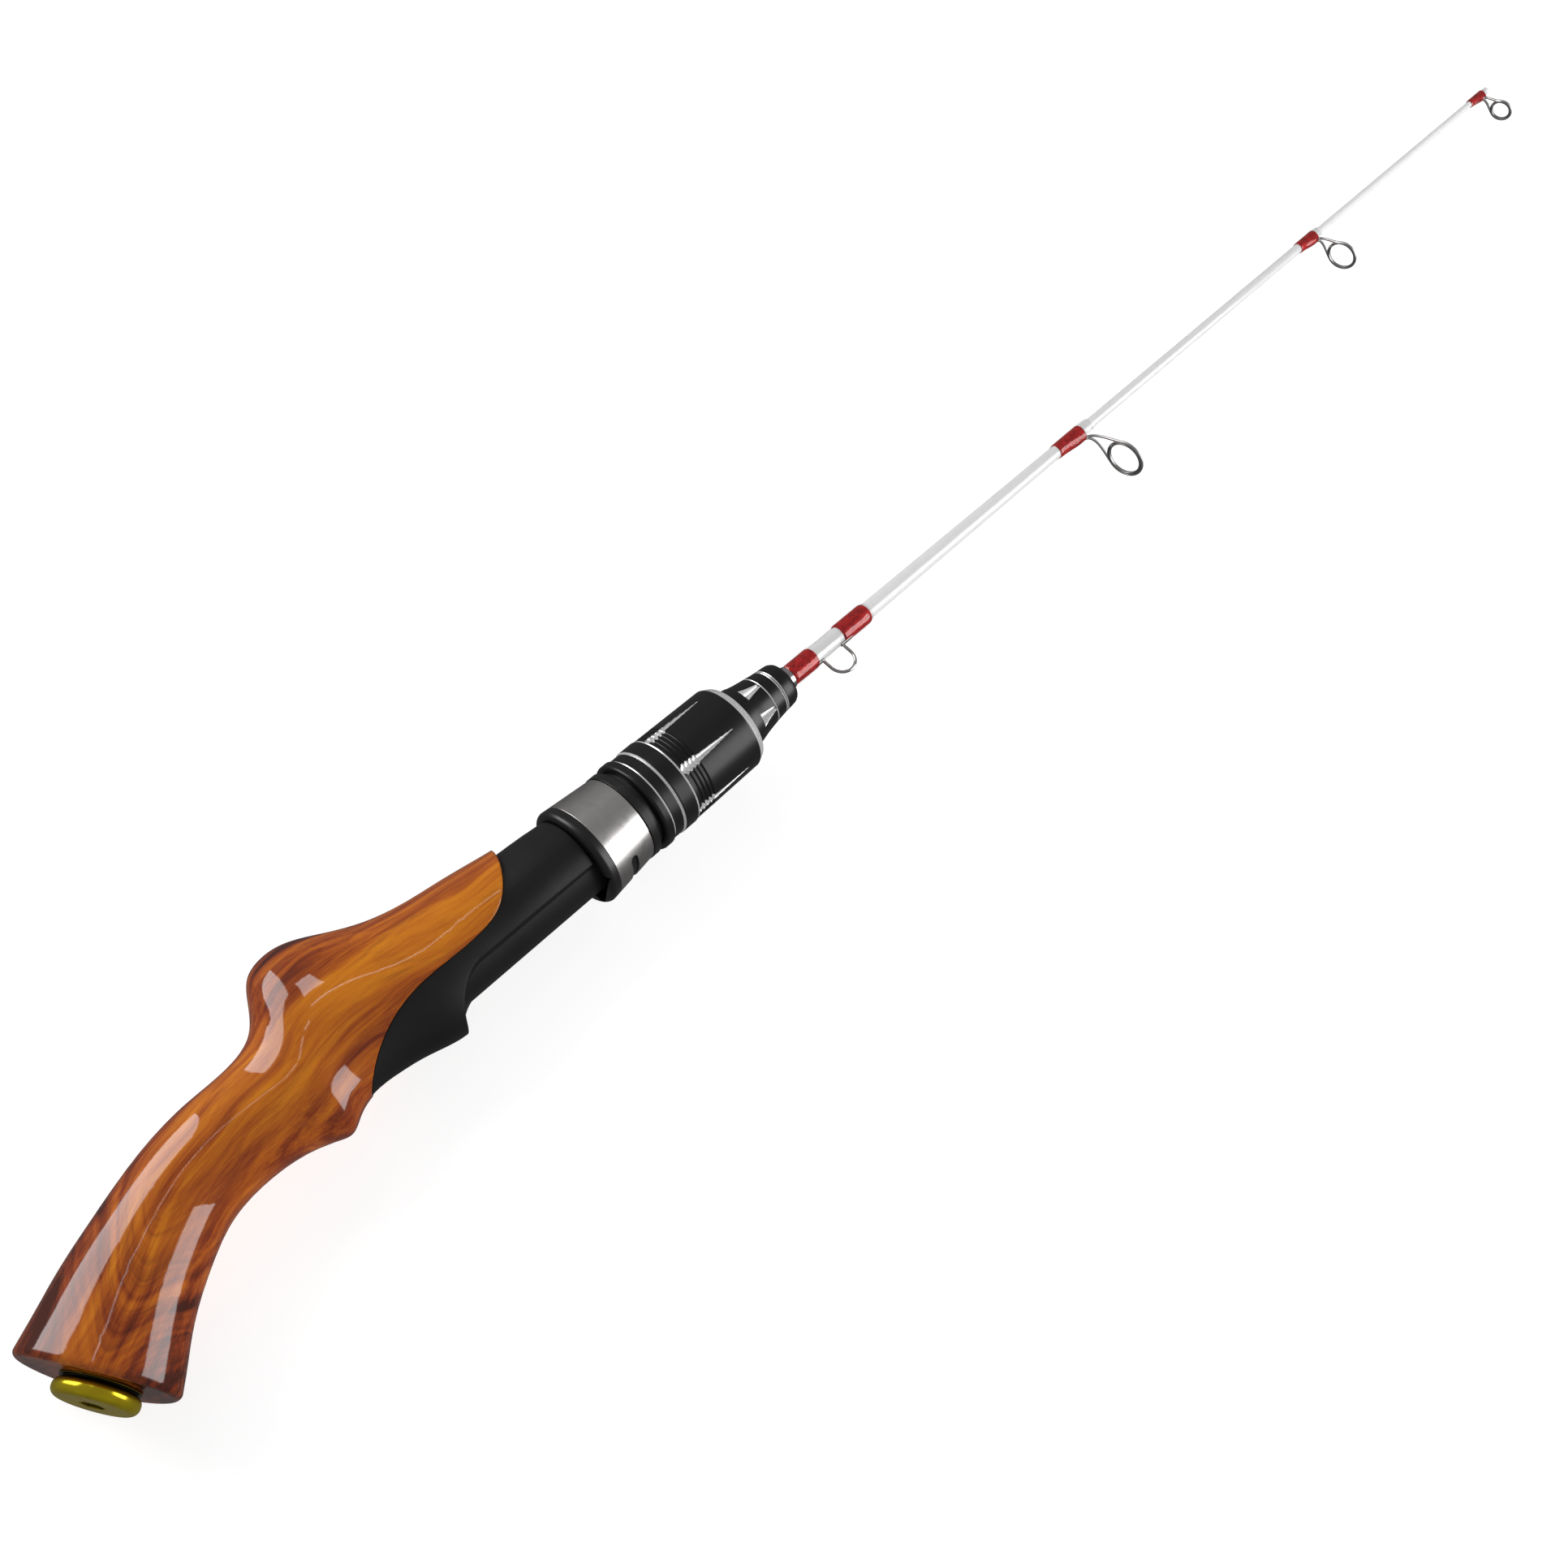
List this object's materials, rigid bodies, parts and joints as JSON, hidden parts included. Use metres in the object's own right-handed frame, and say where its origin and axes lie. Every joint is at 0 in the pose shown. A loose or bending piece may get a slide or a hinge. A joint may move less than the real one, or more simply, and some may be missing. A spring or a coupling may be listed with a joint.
{
  "type": "ice fishing rod",
  "caption": "Short telescopic ice rod with a wood-look pistol grip, a screw-down reel seat, a white glass blank with red wraps, and wire line guides.",
  "frame": {"origin": "on the blank's axis, at the middle of the bed that the reel's foot sits on", "axes": "+X along the blank towards the tip, +Y away from the reel (up when the rod is fished), +Z the rod's right-hand side, up as the rod lies on its left side"},
  "size_m": [0.5767, 0.0625, 0.0274],
  "materials": {
    "lacquered_wood": "orange-brown wood grain under thick clear lacquer",
    "seat_black": "satin black moulded nylon",
    "gold_anodised": "polished yellow-gold anodised",
    "black_rubber": "matte",
    "steel": "bright stainless",
    "brass": "machined",
    "black_anodised": "satin black anodised with bright cut edges",
    "arbor_foam": "rigid foam arbor",
    "white_glass": "translucent white glass fibre, lacquered",
    "nickel": "polished nickel",
    "red_thread": "metallic red winding thread",
    "clear_epoxy": "clear gloss epoxy",
    "hood_metal": "dark polished metal",
    "liner_black": "satin black",
    "guide_steel": "gunmetal plated wire",
    "guide_ring": "polished grey ceramic"
  },
  "bodies": {
    "handle": {"seat_body": "seat_black", "grip_body": "lacquered_wood", "butt_collar": "gold_anodised", "butt_washer": "black_rubber", "butt_cap": "gold_anodised", "butt_stud": "steel", "butt_bush": "brass", "front_cone": "black_anodised", "rear_arbor": "arbor_foam", "front_arbor": "arbor_foam", "blank_base": "white_glass", "base_plug": "black_rubber", "winding_check": "nickel", "keeper_thread_rear": "red_thread", "keeper_thread_front": "red_thread", "keeper_coat": "clear_epoxy", "hook_keeper": "steel", "guide_frame_1": "guide_steel", "guide_ring_1": "guide_ring", "guide_thread_1": "red_thread", "guide_coat_1": "clear_epoxy"},
    "hood": {"hood_shell": "hood_metal", "hood_liner": "liner_black", "slip_ring": "liner_black"},
    "nut": {"nut_shell": "black_anodised", "nut_insert": "liner_black"},
    "middle_section": {"blank_middle": "white_glass", "guide_frame_2": "guide_steel", "guide_ring_2": "guide_ring", "guide_thread_2": "red_thread", "guide_coat_2": "clear_epoxy"},
    "tip_section": {"blank_tip": "white_glass", "guide_frame_3": "guide_steel", "guide_ring_3": "guide_ring", "guide_thread_3": "red_thread", "guide_coat_3": "clear_epoxy"}
  },
  "joints": [
    {"name": "hood_slide", "type": "slide", "parent": "handle", "child": "hood", "axis": [1, 0, 0], "range_m": [0, 0.012]},
    {"name": "nut_turn", "type": "hinge", "parent": "hood", "child": "nut", "pos_m": [0.0525, 0, 0], "axis": [1, 0, 0], "range_deg": [0, 2160]},
    {"name": "middle_slide", "type": "slide", "parent": "handle", "child": "middle_section", "axis": [1, 0, 0], "range_m": [-0.1, 0]},
    {"name": "tip_slide", "type": "slide", "parent": "middle_section", "child": "tip_section", "axis": [1, 0, 0], "range_m": [-0.08, 0]}
  ],
  "couplings": [
    {"joint": "hood_slide", "follows": "nut_turn", "m_per_rad": 0.00031831}
  ]
}
